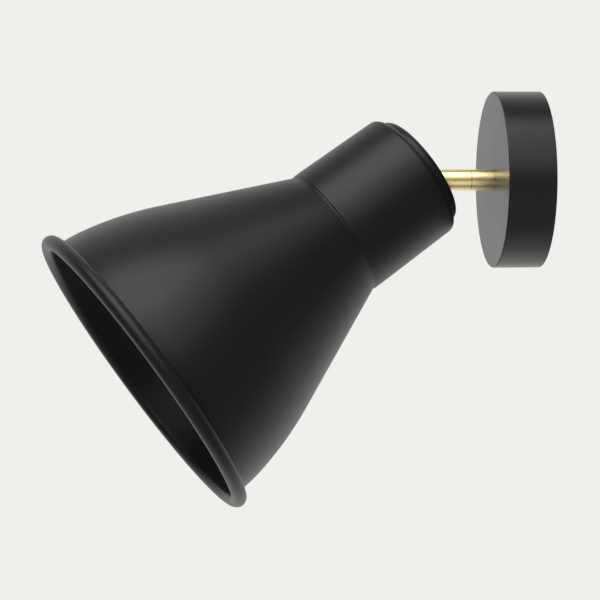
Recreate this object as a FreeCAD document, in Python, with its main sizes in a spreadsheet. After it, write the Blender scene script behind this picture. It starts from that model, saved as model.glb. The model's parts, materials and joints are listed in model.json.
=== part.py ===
import FreeCAD, Part
import math
import os
import re

import Sketcher
from FreeCAD import Placement, Rotation, Vector

# Pivoting spotlight wall light: a round wall rose, a brass stem that swivels in a socket on
# the rose, and a head that tilts on a hollow drum at the stem's end. The head is a neck
# housing with a slotted back cap, an E27 lampholder on a fork, and a bell-shaped spun shade.
#
# Millimetres. Each piece is drawn in one of two upright frames and then placed:
#   WALL: x to the right, y up, z straight out of the wall. Its origin is on the wall.
#   HEAD: x along the tilt pivot, y to the head's upper side, z along the head's axis to the
#         shade's mouth. Its origin is the middle of the back cap's outer face.
# In the finished light the wall is the plane y = 0, the light stands out along -y, z is up.

SIZES = {
    # Wall rose: a pressed steel pan
    "rose_radius": 50.0,
    "rose_depth": 26.6,
    "rose_sheet": 1.2,
    "rose_edge": 0.8,
    "rose_hole": 5.2,
    # Bridge-shaped wall strap with two screw slots, and a tab for the terminal block
    "strap_half": 42.0,
    "strap_width": 18.0,
    "strap_sheet": 1.5,
    "strap_rise": 10.0,
    "bridge_half": 20.0,
    "slot_spacing": 60.0,
    "slot_width": 4.5,
    "slot_length": 10.0,
    "tab_reach": 33.0,
    "earth_offset": 14.0,
    # Two-way terminal block on the tab
    "block_centre": 21.0,
    "block_half_x": 11.0,
    "block_half_y": 9.0,
    "block_height": 8.5,
    "pole_offset": 4.5,
    "wire_height": 4.8,
    "tower_radius": 3.2,
    "tower_height": 3.6,
    "tower_offset": 6.0,
    "insert_radius": 2.25,
    "insert_bore": 1.4,
    "block_tap": 1.2,
    "tower_bore": 1.9,
    "core_radius": 0.9,
    # Small screws: slots across their heads, and the earth connection
    "screw_slot": 0.8,
    "screw_head": 3.6,
    "earth_hole": 1.8,
    "earth_disc": 4.0,
    "disc_sheet": 0.8,
    # M10 hollow fittings
    "thread_radius": 5.0,
    "nipple_radius": 4.95,
    "nipple_bore": 3.6,
    "nipple_start": 7.0,
    "nut_flats": 14.0,
    "nut_height": 2.5,
    "washer_sheet": 0.7,
    # Fixed socket on the rose, and the brass stem that turns in it
    "stem_radius": 6.0,
    "socket_length": 12.5,
    "journal_radius": 4.0,
    "journal_length": 4.5,
    "journal_gap": 0.03,
    "stem_seam": 0.1,
    "stem_chamfer": 0.25,
    "clip_sheet": 0.75,
    "clip_groove": 3.4,
    "flex_bore": 2.6,
    "tube_bore": 4.5,
    "flex_radius": 2.0,
    "pin_radius": 0.75,
    "pin_depth": 3.2,
    "stop_sweep": 346.0,
    # Tilt pivot: a hollow drum at the stem's end, two shoulder screws and their washers
    "pivot_reach": 49.4,
    "drum_radius": 8.4,
    "drum_half": 10.0,
    "drum_chamber": 5.6,
    "chamber_half": 6.0,
    "drum_mouth": 3.0,
    "shoulder_radius": 3.0,
    "screw_core": 2.45,
    "pivot_head": 5.0,
    "pivot_rise": 2.5,
    "hex_socket": 1.7,
    "friction_sheet": 0.8,
    "side_gap": 0.1,
    "ear_sheet": 2.0,
    "spring_sheet": 0.75,
    "flex_kink": 1.3,
    # Head: tilt of the rest pose, back cap and neck housing
    "tilt_angle": 35.8,
    "steepest_tilt": 55.0,
    "cap_inset": 11.2,
    "cap_radius": 33.6,
    "cap_edge": 4.0,
    "cap_sheet": 1.5,
    "cap_slot": 6.5,
    "neck_rear": 5.0,
    "neck_mouth": 58.3,
    "neck_radius": 37.9,
    "neck_flare": 38.7,
    "neck_shoulder": 4.1,
    "neck_wall": 2.0,
    "neck_web": 2.2,
    "lug_radius": 4.5,
    "lug_offset": 29.5,
    "lug_rear": 14.0,
    "ring_sheet": 1.15,
    # Fork, crossbar and lampholder
    "fork_face": 25.0,
    "ear_radius": 7.5,
    "bar_reach": 35.3,
    "bar_sheet": 2.2,
    "holder_boss": 9.5,
    "boss_height": 3.8,
    "holder_bore": 17.25,
    "holder_thread": 19.9,
    "holder_waist": 19.5,
    "holder_cover": 21.5,
    "holder_collar": 24.0,
    "collar_front": 53.0,
    "holder_mouth": 80.0,
    "core_rear": 43.0,
    "core_floor": 50.0,
    "lamp_bore": 13.7,
    "liner_sheet": 0.45,
    "liner_length": 24.0,
    "ring_grip": 26.5,
    "ring_sleeve": 23.2,
    "ring_height": 9.0,
    "grip_height": 2.5,
    # Spun shade: collar, cone, two sweeps and a rolled rim
    "shade_sheet": 1.0,
    "shade_hole": 20.3,
    "spigot_radius": 36.5,
    "collar_radius": 38.2,
    "collar_blend": 20.0,
    "cone_angle": 23.5,
    "cone_start": 64.2,
    "lower_sweep": 101.0,
    "sweep_join": 11.0,
    "mouth_radius": 83.9,
    "mouth_depth": 196.0,
    "rim_radius": 4.1,
    "rim_turn": 300.0,
    # Lamp: E27 cap and frosted globe
    "lamp_cap": 13.2,
    "lamp_contact": 53.5,
    "lamp_joint": 80.5,
    "globe_radius": 30.0,
    "globe_neck": 13.4,
    "globe_start": 82.0,
    "globe_sheet": 1.0,
}

doc = FreeCAD.newDocument("pivoting_wall_light")
sheet = doc.addObject("Spreadsheet::Sheet", "sizes")
for row, (alias, amount) in enumerate(SIZES.items(), 1):
    sheet.set(f"A{row}", alias.replace("_", " "))
    sheet.set(f"B{row}", str(amount))
    sheet.setAlias(f"B{row}", alias)
doc.recompute()

WALL = "wall"
HEAD = "head"
ORIGIN_POINT = (-1, 1)
HORIZONTAL_AXIS = -1
VERTICAL_AXIS = -2
ZERO = 1e-9
CLOSE = 1e-3

subparts = []


# ---------------------------------------------------------------- sizes and placing

def value(text):
    """The number that an expression in the sheet's aliases gives."""
    return float(sheet.evalExpression(text))


def bound(text):
    """The same expression as another object has to write it. Every alias has an underscore."""
    return re.sub(r"[a-z]+(?:_[a-z]+)+", lambda alias: "sizes." + alias.group(), text)


def place(piece, frame):
    """Turn a piece upright on the wall, or set it in the head at the rest tilt."""
    piece.Placement = Placement(Vector(), Rotation(Vector(1, 0, 0), 90))
    if frame == HEAD:
        piece.setExpression("Placement.Rotation.Angle", bound("90 + tilt_angle"))
        piece.setExpression("Placement.Base.y",
                            bound("cap_inset * cos(tilt_angle) - rose_depth - pivot_reach"))
        piece.setExpression("Placement.Base.z", bound("cap_inset * sin(tilt_angle)"))
    subparts.append(piece)


def new_body(label, frame):
    body = doc.addObject("PartDesign::Body", label)
    body.Label = label
    place(body, frame)
    return body


def origin_plane(body, role):
    return [item for item in body.Origin.OriginFeatures if item.Role == role][0]


# ---------------------------------------------------------------- sketches

def new_sketch(body, role, shift=("0", "0", "0")):
    """An empty sketch on an origin plane, shifted along its own right, up and outward axes."""
    sketch = body.newObject("Sketcher::SketchObject", body.Label + "_sketch")
    sketch.AttachmentSupport = [(origin_plane(body, role), "")]
    sketch.MapMode = "FlatFace"
    for axis, text in zip("xyz", shift):
        sketch.setExpression(f"AttachmentOffset.Base.{axis}", bound(text))
    return sketch


def hold_point(sketch, curve, end, x, y):
    """Fix a point of a curve at two expressions, measured from the sketch's origin."""
    for kind, text, axis in (("DistanceX", x, VERTICAL_AXIS), ("DistanceY", y, HORIZONTAL_AXIS)):
        amount = value(text)
        if abs(amount) < ZERO:
            sketch.addConstraint(Sketcher.Constraint("PointOnObject", curve, end, axis))
            continue
        if amount > 0:
            rule = Sketcher.Constraint(kind, *ORIGIN_POINT, curve, end, amount)
            formula = text
        else:
            rule = Sketcher.Constraint(kind, curve, end, *ORIGIN_POINT, -amount)
            formula = f"-({text})"
        index = sketch.addConstraint(rule)
        sketch.setExpression(f"Constraints[{index}]", bound(formula))


def arc_between(start, finish, radius):
    """An arc of up to a half circle: a positive radius turns left, a negative one right."""
    chord = finish - start
    rise = math.sqrt(max(radius * radius - chord.Length ** 2 / 4, 0.0))
    left = Vector(-chord.y, chord.x, 0).normalize()
    centre = (start + finish) / 2 + left * math.copysign(rise, radius)
    first, last = (start, finish) if radius > 0 else (finish, start)
    angles = [math.atan2(point.y - centre.y, point.x - centre.x) for point in (first, last)]
    if angles[1] <= angles[0]:
        angles[1] += 2 * math.pi
    return Part.ArcOfCircle(Part.Circle(centre, Vector(0, 0, 1), abs(radius)), *angles)


def draw_outline(sketch, corners, closed=True):
    """Lines and arcs through corners (x, y), or (x, y, radius) where an arc leaves the corner."""
    points = [Vector(value(corner[0]), value(corner[1]), 0) for corner in corners]
    count = len(corners) if closed else len(corners) - 1
    ends = []
    for index in range(count):
        start = points[index]
        finish = points[(index + 1) % len(points)]
        radius = value(corners[index][2]) if len(corners[index]) > 2 else 0.0
        if radius:
            curve = sketch.addGeometry(arc_between(start, finish, radius), False)
            if (finish - start).Length > 2 * abs(radius) - CLOSE:
                sketch.addConstraint(Sketcher.Constraint("Symmetric", curve, 1, curve, 2, curve, 3))
            else:
                rule = sketch.addConstraint(Sketcher.Constraint("Radius", curve, abs(radius)))
                sketch.setExpression(f"Constraints[{rule}]", bound(f"abs({corners[index][2]})"))
        else:
            curve = sketch.addGeometry(Part.LineSegment(start, finish), False)
        ends.append((curve, 1, 2) if radius >= 0 else (curve, 2, 1))
    for (curve, start_end, finish_end), corner in zip(ends, corners):
        hold_point(sketch, curve, start_end, corner[0], corner[1])
    for index, (curve, start_end, finish_end) in enumerate(ends):
        if closed or index + 1 < len(ends):
            following = ends[(index + 1) % len(ends)]
            sketch.addConstraint(
                Sketcher.Constraint("Coincident", curve, finish_end, following[0], following[1]))
    if not closed:
        hold_point(sketch, ends[-1][0], ends[-1][2], corners[-1][0], corners[-1][1])


def draw_circle(sketch, x, y, radius):
    circle = Part.Circle(Vector(value(x), value(y), 0), Vector(0, 0, 1), value(radius))
    curve = sketch.addGeometry(circle, False)
    rule = sketch.addConstraint(Sketcher.Constraint("Radius", curve, value(radius)))
    sketch.setExpression(f"Constraints[{rule}]", bound(radius))
    hold_point(sketch, curve, 3, x, y)


def rectangle(left, low, right, high):
    return [(left, low), (right, low), (right, high), (left, high)]


# ---------------------------------------------------------------- features

def turned(body, role, corners, axis="V_Axis", angle="360", shift=("0", "0", "0")):
    """Revolve a closed outline evenly about a sketch axis, to both sides of the sketch."""
    sketch = new_sketch(body, role, shift)
    draw_outline(sketch, corners)
    turn = body.newObject("PartDesign::Revolution", body.Label + "_turn")
    turn.Profile = sketch
    turn.ReferenceAxis = (sketch, [axis])
    turn.Midplane = value(angle) < 360
    turn.setExpression("Angle", bound(angle))


def lathe(label, frame, corners, angle="360"):
    """A piece turned about its frame's z axis, from an outline of (radius, height) corners."""
    body = new_body(label, frame)
    turned(body, "XZ_Plane", corners, "V_Axis", angle)
    return body


def cross_lathe(label, height, corners):
    """A piece turned about the tilt pivot's line, from an outline of (x, radius) corners."""
    body = new_body(label, WALL)
    turned(body, "XZ_Plane", corners, "H_Axis", "360", ("0", height, "0"))
    return body


def padded(body, role, shapes, length, shift=("0", "0", "0"), midplane=False):
    """Extrude closed outlines and circles out of a plane, or evenly to both sides of it."""
    sketch = new_sketch(body, role, shift)
    draw_shapes(sketch, shapes)
    pad = body.newObject("PartDesign::Pad", body.Label + "_pad")
    pad.Profile = sketch
    pad.setExpression("Length", bound(length))
    pad.SideType = "Symmetric" if midplane else "One side"


def cut(body, role, shapes, shift=("0", "0", "0"), depth="200", both=True, forward=False):
    """Pocket shapes through a body to both sides of the plane, or to one side by a depth."""
    doc.recompute()
    before = body.Shape.Volume
    sketch = new_sketch(body, role, shift)
    draw_shapes(sketch, shapes)
    pocket = body.newObject("PartDesign::Pocket", body.Label + "_pocket")
    pocket.Profile = sketch
    pocket.SideType = "Symmetric" if both else "One side"
    pocket.Reversed = forward
    pocket.setExpression("Length", bound(depth))
    doc.recompute()
    if body.Shape.Volume >= before - ZERO:
        raise RuntimeError(f"a pocket of {body.Label} cuts nothing")
    return pocket


def grooved(body, role, corners, axis, angle, back_angle, shift=("0", "0", "0")):
    """Groove an outline about a sketch axis, by one angle to each side of the sketch."""
    doc.recompute()
    before = body.Shape.Volume
    sketch = new_sketch(body, role, shift)
    draw_outline(sketch, corners)
    groove = body.newObject("PartDesign::Groove", body.Label + "_groove")
    groove.Profile = sketch
    groove.ReferenceAxis = (sketch, [axis])
    groove.Type = "TwoAngles"
    groove.setExpression("Angle", bound(angle))
    groove.setExpression("Angle2", bound(back_angle))
    doc.recompute()
    if body.Shape.Volume >= before - ZERO:
        raise RuntimeError(f"a groove of {body.Label} cuts nothing")


def draw_shapes(sketch, shapes):
    """A shape is a circle (x, y, radius) as a tuple of text, or a list of outline corners."""
    for shape in shapes:
        if isinstance(shape, tuple):
            draw_circle(sketch, *shape)
        else:
            draw_outline(sketch, shape)


def round_edges(body, radius, chosen):
    """Round the edges of the last feature for which chosen(middle point) is true."""
    doc.recompute()
    base = body.Tip
    names = [f"Edge{number}" for number, edge in enumerate(base.Shape.Edges, 1)
             if chosen(edge, edge.valueAt((edge.FirstParameter + edge.LastParameter) / 2))]
    fillet = body.newObject("PartDesign::Fillet", body.Label + "_fillet")
    fillet.Base = (base, names)
    fillet.setExpression("Radius", bound(radius))
    doc.recompute()


def hexagon(flats):
    """The six corners of a nut, by its size across flats."""
    return [(f"{flats} / 2 / cos(30) * cos({60 * side})",
             f"{flats} / 2 / cos(30) * sin({60 * side})") for side in range(6)]


def hex_nut(label, frame, low, height):
    body = new_body(label, frame)
    shift = ("0", "0", low)
    padded(body, "XY_Plane", [hexagon("nut_flats"), ("0", "0", "thread_radius")], height, shift)


def washer(label, frame, inner, outer, low, sheet_size, angle="360"):
    lathe(label, frame, rectangle(inner, low, outer, f"{low} + {sheet_size}"), angle)


def tube(label, frame, inner, outer, low, high):
    lathe(label, frame, rectangle(inner, low, outer, high))


def pan_screw(label, frame, x, y, head_radius, shank_radius, tip, seat, head_height, pair=False):
    """A slotted pan-head screw along z: its shank runs from tip to seat, its head above that."""
    body = new_body(label, frame)
    padded(body, "XY_Plane", [(x, y, shank_radius)], f"{seat} - ({tip})", ("0", "0", tip))
    padded(body, "XY_Plane", [(x, y, head_radius)], head_height, ("0", "0", seat))
    top = value(seat) + value(head_height)
    round_edges(body, f"0.35 * {head_height}",
                lambda edge, middle: abs(middle.z - top) < CLOSE)
    slot = rectangle(f"{x} - {head_radius}", f"{y} - screw_slot / 2",
                     f"{x} + {head_radius}", f"{y} + screw_slot / 2")
    cut(body, "XY_Plane", [slot], ("0", "0", f"{seat} + {head_height}"), f"{head_height}")
    if pair:
        mirror_whole(body)


def mirror_whole(body):
    """Repeat the whole body on the other side of the plane x = 0."""
    doc.recompute()
    mirror = body.newObject("PartDesign::Mirrored", body.Label + "_mirror")
    mirror.TransformMode = "Whole shape"
    mirror.MirrorPlane = (origin_plane(body, "YZ_Plane"), [""])
    body.Tip = mirror
    doc.recompute()


# ---------------------------------------------------------------- wall side

def wall_rose():
    """The pan that covers the strap: open at the wall, with one hole for the nipple."""
    wall_inner = "rose_radius - rose_sheet"
    face_inner = "rose_depth - rose_sheet"
    lathe("wall_rose", WALL, [
        ("rose_hole", "rose_depth"),
        ("rose_hole", face_inner),
        (wall_inner, face_inner),
        (wall_inner, "0"),
        ("rose_radius", "0"),
        ("rose_radius", "rose_depth - rose_edge", "rose_edge"),
        ("rose_radius - rose_edge", "rose_depth"),
    ])


BRIDGE_TOP = "strap_rise + strap_sheet"
WIRE_LEVEL = f"{BRIDGE_TOP} + wire_height"
BLOCK_TOP = f"{BRIDGE_TOP} + block_height"


def wall_bracket():
    """A strap bent into a bridge, with screw slots in its feet and a tab upwards."""
    body = new_body("wall_bracket", WALL)
    inner = "bridge_half - strap_sheet"
    padded(body, "XZ_Plane", [[
        ("strap_half", "0"),
        ("strap_half", "strap_sheet"),
        ("bridge_half", "strap_sheet"),
        ("bridge_half", BRIDGE_TOP),
        ("-bridge_half", BRIDGE_TOP),
        ("-bridge_half", "strap_sheet"),
        ("-strap_half", "strap_sheet"),
        ("-strap_half", "0"),
        (f"-({inner})", "0"),
        (f"-({inner})", "strap_rise"),
        (inner, "strap_rise"),
        (inner, "0"),
    ]], "strap_width", midplane=True)
    across = value("strap_width")
    outer_bend = value("bridge_half"), value(BRIDGE_TOP)
    inner_bend = value("bridge_half"), value("strap_sheet")

    def at_bend(corner):
        return lambda edge, middle: (abs(edge.Length - across) < CLOSE
                                     and abs(abs(middle.x) - corner[0]) < CLOSE
                                     and abs(middle.z - corner[1]) < CLOSE)

    round_edges(body, "1.6 * strap_sheet", at_bend(outer_bend))
    round_edges(body, "0.6 * strap_sheet", at_bend(inner_bend))
    padded(body, "XY_Plane",
           [rectangle("-strap_width / 2", "strap_width / 3", "strap_width / 2", "tab_reach")],
           "strap_sheet", ("0", "0", "strap_rise"))
    corner_x = value("strap_half")
    round_edges(body, "strap_width / 4",
                lambda edge, middle: (abs(abs(middle.x) - corner_x) < CLOSE
                                      and edge.Length < 1.01 * value("strap_sheet")))
    straight = "(slot_length - slot_width) / 2"
    slots = []
    for side in ("-", ""):
        centre = f"{side}slot_spacing / 2"
        slots.append([
            (f"{centre} - {straight}", "-slot_width / 2"),
            (f"{centre} + {straight}", "-slot_width / 2", "slot_width / 2"),
            (f"{centre} + {straight}", "slot_width / 2"),
            (f"{centre} - {straight}", "slot_width / 2", "slot_width / 2"),
        ])
    cut(body, "XY_Plane", slots)
    cut(body, "XY_Plane", [("0", "0", "thread_radius + 0.1"),
                           ("-earth_offset", "0", "1.7"),
                           ("0", "block_centre", "1.3")])


def terminal_block():
    """A moulded two-way block: two wire ways along x, and four towers over the screws."""
    body = new_body("terminal_block", WALL)
    base = rectangle("-block_half_x", "block_centre - block_half_y",
                     "block_half_x", "block_centre + block_half_y")
    padded(body, "XY_Plane", [base], "block_height", ("0", "0", BRIDGE_TOP))
    upright = value("block_height")
    round_edges(body, "block_half_x / 8",
                lambda edge, middle: abs(edge.Length - upright) < CLOSE)
    towers = tower_circles("tower_radius")
    padded(body, "XY_Plane", towers, "tower_height", ("0", "0", BLOCK_TOP))
    cut(body, "YZ_Plane", pole_circles("insert_radius + 0.05"))
    cut(body, "XY_Plane", tower_circles("tower_bore"), ("0", "0", WIRE_LEVEL),
        "block_height + tower_height", both=False, forward=True)
    cut(body, "XY_Plane", [("0", "block_centre", "1.6")])


def tower_circles(radius):
    return [(f"{x} * tower_offset", f"block_centre + {y} * pole_offset", radius)
            for x in (-1, 1) for y in (-1, 1)]


def pole_circles(radius):
    return [(f"block_centre + {y} * pole_offset", WIRE_LEVEL, radius) for y in (-1, 1)]


def terminal_inserts():
    """Two brass sleeves in the block, each with two tapped holes for the screws."""
    body = new_body("terminal_inserts", WALL)
    padded(body, "YZ_Plane", pole_circles("insert_radius"), "2 * block_half_x - 3",
           midplane=True)
    cut(body, "YZ_Plane", pole_circles("insert_bore"))
    cut(body, "XY_Plane", tower_circles("block_tap"), ("0", "0", WIRE_LEVEL),
        "block_height", both=False, forward=True)


def terminal_screws():
    """Four slotted grub screws that press on the wires in the sleeves."""
    body = new_body("terminal_screws", WALL)
    low = f"{WIRE_LEVEL} + core_radius"
    height = "block_height + tower_height - wire_height - core_radius - 1.2"
    padded(body, "XY_Plane", tower_circles("block_tap - 0.05"), height, ("0", "0", low))
    slots = [rectangle(f"{x} * tower_offset - 2", f"block_centre + {y} * pole_offset - 0.3",
                       f"{x} * tower_offset + 2", f"block_centre + {y} * pole_offset + 0.3")
             for x in (-1, 1) for y in (-1, 1)]
    cut(body, "XY_Plane", slots, ("0", "0", f"{low} + {height}"), "1.6")


def lock_washer():
    """An outward-toothed washer under the front nut."""
    body = new_body("lock_washer", WALL)
    padded(body, "XY_Plane", [("0", "0", "1.7 * thread_radius"), ("0", "0", "thread_radius + 0.1")],
           "washer_sheet", ("0", "0", BRIDGE_TOP))
    notch = cut(body, "XY_Plane", [("1.8 * thread_radius", "0", "thread_radius / 5")])
    pattern = body.newObject("PartDesign::PolarPattern", "lock_washer_teeth")
    pattern.Originals = [notch]
    pattern.Axis = (origin_plane(body, "Z_Axis"), [""])
    pattern.Angle = 360
    pattern.Occurrences = 12
    body.Tip = pattern


SOCKET_MOUTH = "rose_depth + socket_length"
JOURNAL_SHOULDER = f"{SOCKET_MOUTH} - journal_length"
STEM_START = f"{SOCKET_MOUTH} + stem_seam"
PIVOT = "rose_depth + pivot_reach"
PIN_LEVEL = f"{SOCKET_MOUTH} - journal_length / 2"


def stem_socket():
    """The fixed brass stub: threaded on the nipple, with a bearing for the stem's journal."""
    body = lathe("stem_socket", WALL, [
        ("thread_radius", "rose_depth"),
        ("stem_radius", "rose_depth"),
        ("stem_radius", f"{SOCKET_MOUTH} - stem_chamfer"),
        ("stem_radius - stem_chamfer", SOCKET_MOUTH),
        ("journal_radius + journal_gap", SOCKET_MOUTH),
        ("journal_radius + journal_gap", JOURNAL_SHOULDER),
        ("thread_radius", JOURNAL_SHOULDER),
    ])
    cut(body, "XZ_Plane", [("0", PIN_LEVEL, "pin_radius + 0.02")],
        ("0", "0", "-journal_radius / 2"), "stem_radius", both=False)


def stop_pin():
    """A plain pin through the socket's upper side, which stops the swivel at each end."""
    body = new_body("stop_pin", WALL)
    padded(body, "XZ_Plane", [("0", PIN_LEVEL, "pin_radius")],
           "stem_radius - pin_depth - 0.1", ("0", "0", "0.1 - stem_radius"))


CLIP_FACE = f"{JOURNAL_SHOULDER} - washer_sheet"


def stem_tube():
    """The turning stem: bored for the flex, with a journal, a clip groove and a stop groove."""
    body = lathe("stem_tube", WALL, [
        ("flex_bore", f"{CLIP_FACE} - 2 * clip_sheet"),
        ("journal_radius", f"{CLIP_FACE} - 2 * clip_sheet"),
        ("journal_radius", f"{CLIP_FACE} - clip_sheet - 0.05"),
        ("clip_groove", f"{CLIP_FACE} - clip_sheet - 0.05"),
        ("clip_groove", f"{CLIP_FACE} + 0.02"),
        ("journal_radius", f"{CLIP_FACE} + 0.02"),
        ("journal_radius", STEM_START),
        ("stem_radius - stem_chamfer", STEM_START),
        ("stem_radius", f"{STEM_START} + stem_chamfer"),
        ("stem_radius", f"{PIVOT} - drum_chamber - 0.2"),
        ("tube_bore", f"{PIVOT} - drum_chamber - 0.2"),
        ("tube_bore", f"{STEM_START} + 3"),
        ("flex_bore", f"{STEM_START} + 3"),
    ])
    grooved(body, "YZ_Plane",
            rectangle("pin_depth - 0.15", f"{PIN_LEVEL} - pin_radius - 0.2",
                      "journal_radius + 0.5", f"{PIN_LEVEL} + pin_radius + 0.2"),
            "V_Axis", "stop_sweep / 2", "stop_sweep / 2")


def pivot_drum():
    """The hollow knuckle: a chamber for the flex, a hole for the stem and a mouth in front."""
    edge = "drum_radius / 16"
    body = cross_lathe("pivot_drum", PIVOT, [
        ("-drum_half", "screw_core + 0.05"),
        ("-chamber_half", "screw_core + 0.05"),
        ("-chamber_half", "drum_chamber"),
        ("chamber_half", "drum_chamber"),
        ("chamber_half", "screw_core + 0.05"),
        ("drum_half", "screw_core + 0.05"),
        ("drum_half", f"drum_radius - {edge}"),
        (f"drum_half - {edge}", "drum_radius"),
        (f"{edge} - drum_half", "drum_radius"),
        ("-drum_half", f"drum_radius - {edge}"),
    ])
    cut(body, "XY_Plane", [("0", "0", "stem_radius + journal_gap")],
        ("0", "0", f"{PIVOT} - drum_chamber / 2"), "2 * drum_radius", both=False)
    grooved(body, "XZ_Plane",
            rectangle("-drum_mouth", "drum_chamber - 1", "drum_mouth", "drum_radius + 1"),
            "H_Axis", "80", "25", ("0", PIVOT, "0"))


EAR_INNER = "drum_half + friction_sheet + side_gap"
EAR_OUTER = f"{EAR_INNER} + ear_sheet"
SPRING_INNER = f"{EAR_OUTER} + side_gap"
SCREW_SEAT = f"{SPRING_INNER} + spring_sheet"


def pivot_hardware():
    """On each side of the drum: a friction washer, a spring washer and a shoulder screw."""
    screws = cross_lathe("pivot_screws", PIVOT, [
        ("chamber_half + 0.4", "0"),
        ("chamber_half + 0.4", "screw_core"),
        ("drum_half", "screw_core"),
        ("drum_half", "shoulder_radius"),
        (SCREW_SEAT, "shoulder_radius"),
        (SCREW_SEAT, "pivot_head"),
        (f"{SCREW_SEAT} + pivot_rise - 1", "pivot_head", "1"),
        (f"{SCREW_SEAT} + pivot_rise", "pivot_head - 1"),
        (f"{SCREW_SEAT} + pivot_rise", "hex_socket"),
        (f"{SCREW_SEAT} + 1", "hex_socket"),
        (f"{SCREW_SEAT} + 1", "0"),
    ])
    mirror_whole(screws)
    friction = cross_lathe("friction_washers", PIVOT,
                           rectangle("drum_half", "shoulder_radius + 0.1",
                                     "drum_half + friction_sheet", "ear_radius - 0.3"))
    mirror_whole(friction)
    springs = cross_lathe("spring_washers", PIVOT,
                          rectangle(SPRING_INNER, "shoulder_radius + 0.1",
                                    SCREW_SEAT, "pivot_head + 0.3"))
    mirror_whole(springs)


# ---------------------------------------------------------------- head

CAP_FLANGE = "neck_rear + neck_web"


def back_cap():
    """A pressed cup with a flange inside the neck, slotted on its lower side for the stem."""
    cup_inner = "cap_radius - cap_sheet"
    inner_edge = "cap_edge - cap_sheet"
    body = lathe("back_cap", HEAD, [
        ("0", "0"),
        ("cap_radius - cap_edge", "0", "cap_edge"),
        ("cap_radius", "cap_edge"),
        ("cap_radius", CAP_FLANGE),
        ("neck_radius - neck_wall - 0.2", CAP_FLANGE),
        ("neck_radius - neck_wall - 0.2", f"{CAP_FLANGE} + cap_sheet"),
        (cup_inner, f"{CAP_FLANGE} + cap_sheet"),
        (cup_inner, "cap_edge", f"-({inner_edge})"),
        ("cap_radius - cap_edge", "cap_sheet"),
        ("0", "cap_sheet"),
    ])
    stem_middle = "cap_inset * tan(steepest_tilt)"
    slot_end = f"-({stem_middle} + stem_radius / cos(steepest_tilt) - cap_slot + 0.6)"
    cut(body, "XY_Plane", [[
        ("cap_slot", slot_end),
        ("cap_slot", "0", "cap_slot"),
        ("-cap_slot", "0"),
        ("-cap_slot", slot_end, "cap_slot"),
    ]], depth="4 * cap_sheet")


RING_LOW = f"{CAP_FLANGE} + cap_sheet"
RING_TOP = f"{RING_LOW} + ring_sheet + 0.1"


def neck_housing():
    """The cast neck: a rounded shoulder around the cap, a ring groove and two screw lugs."""
    bore = "neck_radius - neck_wall"
    body = lathe("neck_housing", HEAD, [
        ("neck_radius - neck_shoulder", "neck_rear", "neck_shoulder"),
        ("neck_radius", "neck_rear + neck_shoulder"),
        ("neck_flare", "neck_mouth"),
        ("neck_flare - neck_wall", "neck_mouth"),
        (bore, RING_TOP),
        (f"{bore} + 0.5", RING_TOP),
        (f"{bore} + 0.5", RING_LOW),
        (bore, RING_LOW),
        (bore, CAP_FLANGE),
        ("neck_radius - neck_shoulder", CAP_FLANGE),
    ])
    lug = [
        (f"{bore} + 0.9", "-lug_radius"),
        (f"{bore} + 0.9", "lug_radius"),
        ("lug_offset", "lug_radius", "lug_radius"),
        ("lug_offset", "-lug_radius"),
    ]
    depth = "fork_face + ear_sheet - lug_rear"
    padded(body, "XY_Plane", [lug], depth, ("0", "0", "lug_rear"))
    mirror_whole(body)
    cut(body, "XY_Plane", [(f"{side} * lug_offset", "0", "1.65") for side in (-1, 1)],
        ("0", "0", "fork_face + ear_sheet"), f"{depth} - 2", both=False)


def fork_bracket():
    """A U of steel: two round-ended ears on the pivot screws, and a base for the nipple."""
    body = new_body("fork_bracket", HEAD)
    ear_side = [
        ("-ear_radius", "fork_face + ear_sheet"),
        ("ear_radius", "fork_face + ear_sheet"),
        ("ear_radius", "cap_inset", "-ear_radius"),
        ("-ear_radius", "cap_inset"),
    ]
    padded(body, "YZ_Plane", [ear_side], f"2 * ({EAR_OUTER})", midplane=True)
    bend = value(EAR_OUTER), value("fork_face + ear_sheet")
    round_edges(body, "1.2 * ear_sheet",
                lambda edge, middle: (abs(abs(middle.x) - bend[0]) < CLOSE
                                      and abs(middle.z - bend[1]) < CLOSE))
    cut(body, "XZ_Plane", [rectangle(f"-({EAR_INNER})", "0", EAR_INNER, "fork_face")])
    cut(body, "YZ_Plane", [("0", "cap_inset", "shoulder_radius + 0.08")])
    cut(body, "XY_Plane", [("0", "0", "thread_radius + 0.1")])


def cross_bar():
    """The bar that joins the fork to the neck's two lugs, with ends that follow the bore."""
    body = new_body("cross_bar", HEAD)
    end_x = "sqrt(bar_reach ^ 2 - ear_radius ^ 2)"
    padded(body, "XY_Plane", [[
        (end_x, "-ear_radius", "bar_reach"),
        (end_x, "ear_radius"),
        (f"-{end_x}", "ear_radius", "bar_reach"),
        (f"-{end_x}", "-ear_radius"),
    ]], "bar_sheet", ("0", "0", "fork_face + ear_sheet"))
    cut(body, "XY_Plane", [("0", "0", "thread_radius + 0.1"),
                           ("lug_offset", "0", "2.2"),
                           ("-lug_offset", "0", "2.2")])


BAR_FRONT = "fork_face + ear_sheet + bar_sheet"


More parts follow.
